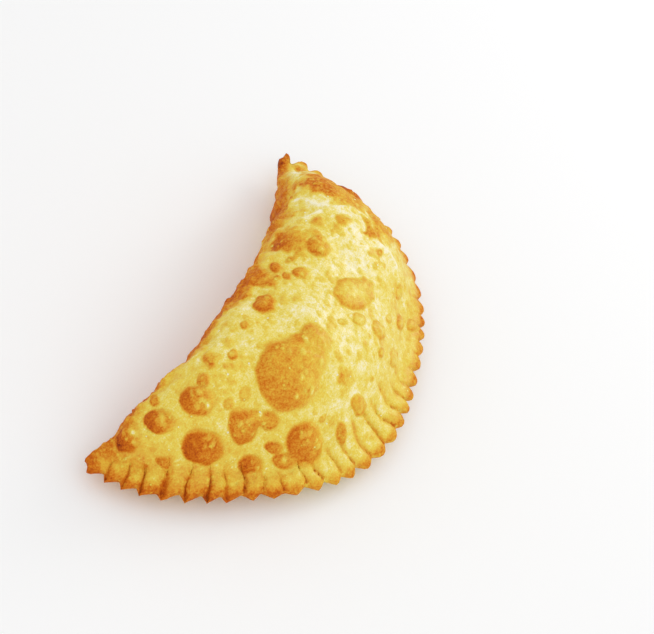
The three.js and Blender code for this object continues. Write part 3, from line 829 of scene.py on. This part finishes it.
def linear(colour):  # a screen colour of 0 to 255 as linear light
    share = np.array(colour) / 255
    light = np.where(share <= 0.04045, share / 12.92, ((share + 0.055) / 1.055) ** 2.4)
    return tuple(light.tolist())


dough = {
    "colours": (  # browning and the colour there
        (0.0, (248, 240, 205)), (0.10, (241, 225, 140)), (0.20, (233, 210, 84)),
        (0.34, (228, 184, 61)), (0.48, (222, 154, 46)), (0.62, (209, 117, 23)),
        (0.76, (190, 90, 14)), (0.88, (154, 64, 12)), (1.0, (108, 40, 10)),
    ),
    "noises": {  # scale, detail, and weight on pale dough, on blisters and on scorched dough
        "slow": (38, 2, 0.2, 0.15, 0.2),
        "patch": (130, 3, 0.25, 0.28, 0.5),
        "clump": (330, 2, 0.28, 0.26, 0.5),
        "grain": (800, 3, 0.28, 0.36, 0.4),
        "fine": (2200, 2, 0.35, 0.5, 0.45),
    },
    # the blisters' edge: its unevenness, how it blends, and the darker ring along it
    "edgeWobble": 1.0, "coverEdge": (-1, 0.5),
    "ring": 0.05, "ringRise": (-1.5, -0.6), "ringFall": (-0.3, 0.4),
    # what is paler: webs of painted sheen, clumps on scorched dough, flecks on brown dough, painted glints
    "brownFrom": (0.28, 0.5), "paintedSheenWeb": 0.038, "clumpPale": 0.15, "clumpEdge": (0.03, 0.14),
    "fleckScale": 600, "fleck": 0.16, "fleckEdge": (0.2, 0.45), "fleckChance": (0.5, 0.55),
    "fleckPatches": (-0.02, 0.06), "glint": 0.3, "glintEdge": (0.1, 0.25), "glintChance": (0.94, 0.95),
    "roughness": (0.45, 0.65), "grainRoughness": 0.2, "specular": 0.06,
    "coat": 0.3, "coatRoughness": 0.25, "brownDulls": 0.85,
    "bumpDepth": 0.0005, "bumpStrength": 0.6,
    "bumps": (0.6, 0.4, 0.6, 0.3, 0.6),  # of grain, fine noise, flecks, clumps and glints
}


def doughMaterial():
    # golden dough: browning from the mesh, mottled by noise, with webs between its pebbles paled as
    # painted sheen, pale clumps and flecks where it is brown, painted glints, and a fine grain
    material = bpy.data.materials.new("friedDough")
    material.use_nodes = True
    tree = material.node_tree
    shader = tree.nodes["Principled BSDF"]
    base = Wire(tree, None)
    coords = base.node("ShaderNodeTexCoord", output=3)

    def noise(scale, detail):  # from -0.5 to 0.5
        inputs = {"Vector": coords, "Scale": scale, "Detail": detail}
        return base.node("ShaderNodeTexNoise", None, inputs) - 0.5

    def attribute(name):
        return base.node("ShaderNodeAttribute", {"attribute_name": name}, output=2)

    browningAndPaintedLight, paintedSheenWeb, edge, tone = (attribute(name) for name in ("browningAndPaintedLight", "paintedSheenWeb", "edge", "tone"))
    noises = {name: noise(scale, detail) for name, (scale, detail, *weights) in dough["noises"].items()}
    clump, grain = noises["clump"], noises["grain"]
    fleck = base.node("ShaderNodeTexVoronoi", None, {"Vector": coords, "Scale": dough["fleckScale"]})
    chance = base.node("ShaderNodeSeparateColor", None, {0: fleck.beside("Color")})
    cover = 1 - (edge + (clump + grain) * dough["edgeWobble"]).step(*dough["coverEdge"])
    ring = edge.step(*dough["ringRise"]) * (1 - edge.step(*dough["ringFall"]))
    level = browningAndPaintedLight + (tone - browningAndPaintedLight) * cover + ring * dough["ring"]
    brown = level.step(*dough["brownFrom"])
    blistered, scorched = brown * cover, brown * (1 - cover)
    paleClump = clump.step(*dough["clumpEdge"]) * scorched
    paleFleck = (1 - fleck.step(*dough["fleckEdge"])) * chance.step(*dough["fleckChance"])
    paleFleck = paleFleck * noises["patch"].step(*dough["fleckPatches"]) * brown
    # painted glints: small white dots scattered at random
    glint = (1 - fleck.step(*dough["glintEdge"])) * chance.beside(1).step(*dough["glintChance"])
    for name, (scale, detail, onPale, onBlister, onScorch) in dough["noises"].items():
        weight = blistered * (onBlister - onPale) + scorched * (onScorch - onPale) + onPale
        level = level + noises[name] * weight
    # paler on the webs as painted sheen, at clumps and flecks, and at painted glints
    level = level - paintedSheenWeb * dough["paintedSheenWeb"] - paleClump * dough["clumpPale"] - paleFleck * dough["fleck"]
    level = level - glint * dough["glint"]
    smooth, dull = dough["roughness"]
    bumpy = zip((grain, noises["fine"], paleFleck, paleClump, glint), dough["bumps"])
    bump = {"Strength": dough["bumpStrength"], "Distance": dough["bumpDepth"],
            "Height": sum(wire * weight for wire, weight in bumpy)}
    looks = {
        "Base Color": level.ramp(dough["colours"]),
        "Roughness": brown * (dull - smooth) + smooth + grain * dough["grainRoughness"],
        "Coat Weight": (1 - dough["brownDulls"] * brown) * dough["coat"],
        "Normal": base.node("ShaderNodeBump", None, bump),
    }
    for name, wire in looks.items():
        tree.links.new(wire.socket, shader.inputs[name])
    shader.inputs["Coat Roughness"].default_value = dough["coatRoughness"]
    shader.inputs["Specular IOR Level"].default_value = dough["specular"]
    return material


# The camera: height and direction it looks from, roll, distance and the place on the borek's
# plan that it looks at, in degrees and millimetres
view = {"elevation": 48.7, "azimuth": -84.6, "roll": 22.4, "distance": 600, "aim": (22.1, -33.1, 0.0),
        "lens": 113.4, "sensor": 36}


def viewAxes():  # right, up and backward directions of the camera, the first two turned by its roll
    height, side, roll = (np.radians(view[key]) for key in ("elevation", "azimuth", "roll"))
    back = np.array([np.sin(side) * np.cos(height), -np.cos(side) * np.cos(height), np.sin(height)])
    right = unit(np.cross(-back, [0, 0, 1]))
    up = np.cross(right, -back)
    turn, lean = np.cos(roll), np.sin(roll)
    return right * turn + up * lean, up * turn - right * lean, back


def turnedTo(right, up, back):  # matrix that turns an object's own axes to these
    return Matrix(np.column_stack([right, up, back]).tolist()).to_4x4()


def buildBorek():
    loops, creases = loopGrid()
    raised, attributes = raiseDough(loops, creases, viewAxes()[2])
    low, high = raised.min((0, 1)), raised.max((0, 1))
    middle = (low + high) / 2 * np.array([1, 1, 0])
    scale = (cadHigh[0] - cadLow[0]) / (high[0] - low[0])  # millimetres to the frame's metres
    mesh = closedMesh("friedBorek", (raised - middle) * scale, attributes)
    piece = bpy.data.objects.new("friedBorek", mesh)
    bpy.context.collection.objects.link(piece)
    mesh.materials.append(doughMaterial())
    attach(piece, "root")
    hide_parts("borek")
    print("borek:", len(mesh.polygons), "faces, mm to m", round(scale, 6), "middle", middle.round(2))
    return middle, scale


studio = {
    "floorSize": 4.0, "floorColour": (250, 250, 250), "floorRoughness": 0.9, "floorDrop": 0.0002,
    "world": 0.86,
    "lights": {  # place, size and power
        "key": ((0.47, -0.25, 0.28), 0.22, 0.6),
        "fill": ((-0.45, -0.30, 0.55), 0.6, 0.6),
    },
}


def buildFloor():
    half, low = studio["floorSize"] / 2, -studio["floorDrop"]
    corners = [(-half, -half, low), (half, -half, low), (half, half, low), (-half, half, low)]
    mesh = bpy.data.meshes.new("floor")
    mesh.from_pydata(corners, [], [(0, 1, 2, 3)])
    floor = bpy.data.objects.new("floor", mesh)
    bpy.context.collection.objects.link(floor)
    paper = bpy.data.materials.new("floorPaper")
    paper.use_nodes = True
    shader = paper.node_tree.nodes["Principled BSDF"]
    shader.inputs["Base Color"].default_value = (*linear(studio["floorColour"]), 1)
    shader.inputs["Roughness"].default_value = studio["floorRoughness"]
    mesh.materials.append(paper)
    print("floor:", studio["floorSize"], "m")


def buildLights():  # an even white world and square lamps, each turned to the origin
    world = bpy.data.worlds.new("studio")
    world.use_nodes = True
    background = world.node_tree.nodes["Background"]
    background.inputs["Color"].default_value = (1, 1, 1, 1)
    background.inputs["Strength"].default_value = studio["world"]
    bpy.context.scene.world = world
    for name, (place, size, power) in studio["lights"].items():
        lamp = bpy.data.lights.new(name, "AREA")
        lamp.size, lamp.energy = size, power
        light = bpy.data.objects.new(name, lamp)
        back = unit(np.array(place))
        right = unit(np.cross([0, 0, 1], back))
        light.matrix_world = turnedTo(right, np.cross(back, right), back)
        light.location = place
        bpy.context.collection.objects.link(light)
    bpy.context.scene.view_settings.view_transform = "Standard"
    print("lights: world,", ", ".join(studio["lights"]))


def buildCamera(middle, scale):
    right, up, back = viewAxes()
    lens = bpy.data.cameras.new("camera")
    lens.lens, lens.sensor_width = view["lens"], view["sensor"]
    camera = bpy.data.objects.new("camera", lens)
    camera.matrix_world = turnedTo(right, up, back)
    camera.location = (np.array(view["aim"]) - middle + back * view["distance"]) * scale
    bpy.context.collection.objects.link(camera)
    bpy.context.scene.camera = camera
    print("camera:", np.round(np.array(camera.location), 3))


middle, scale = buildBorek()
buildFloor()
buildLights()
buildCamera(middle, scale)
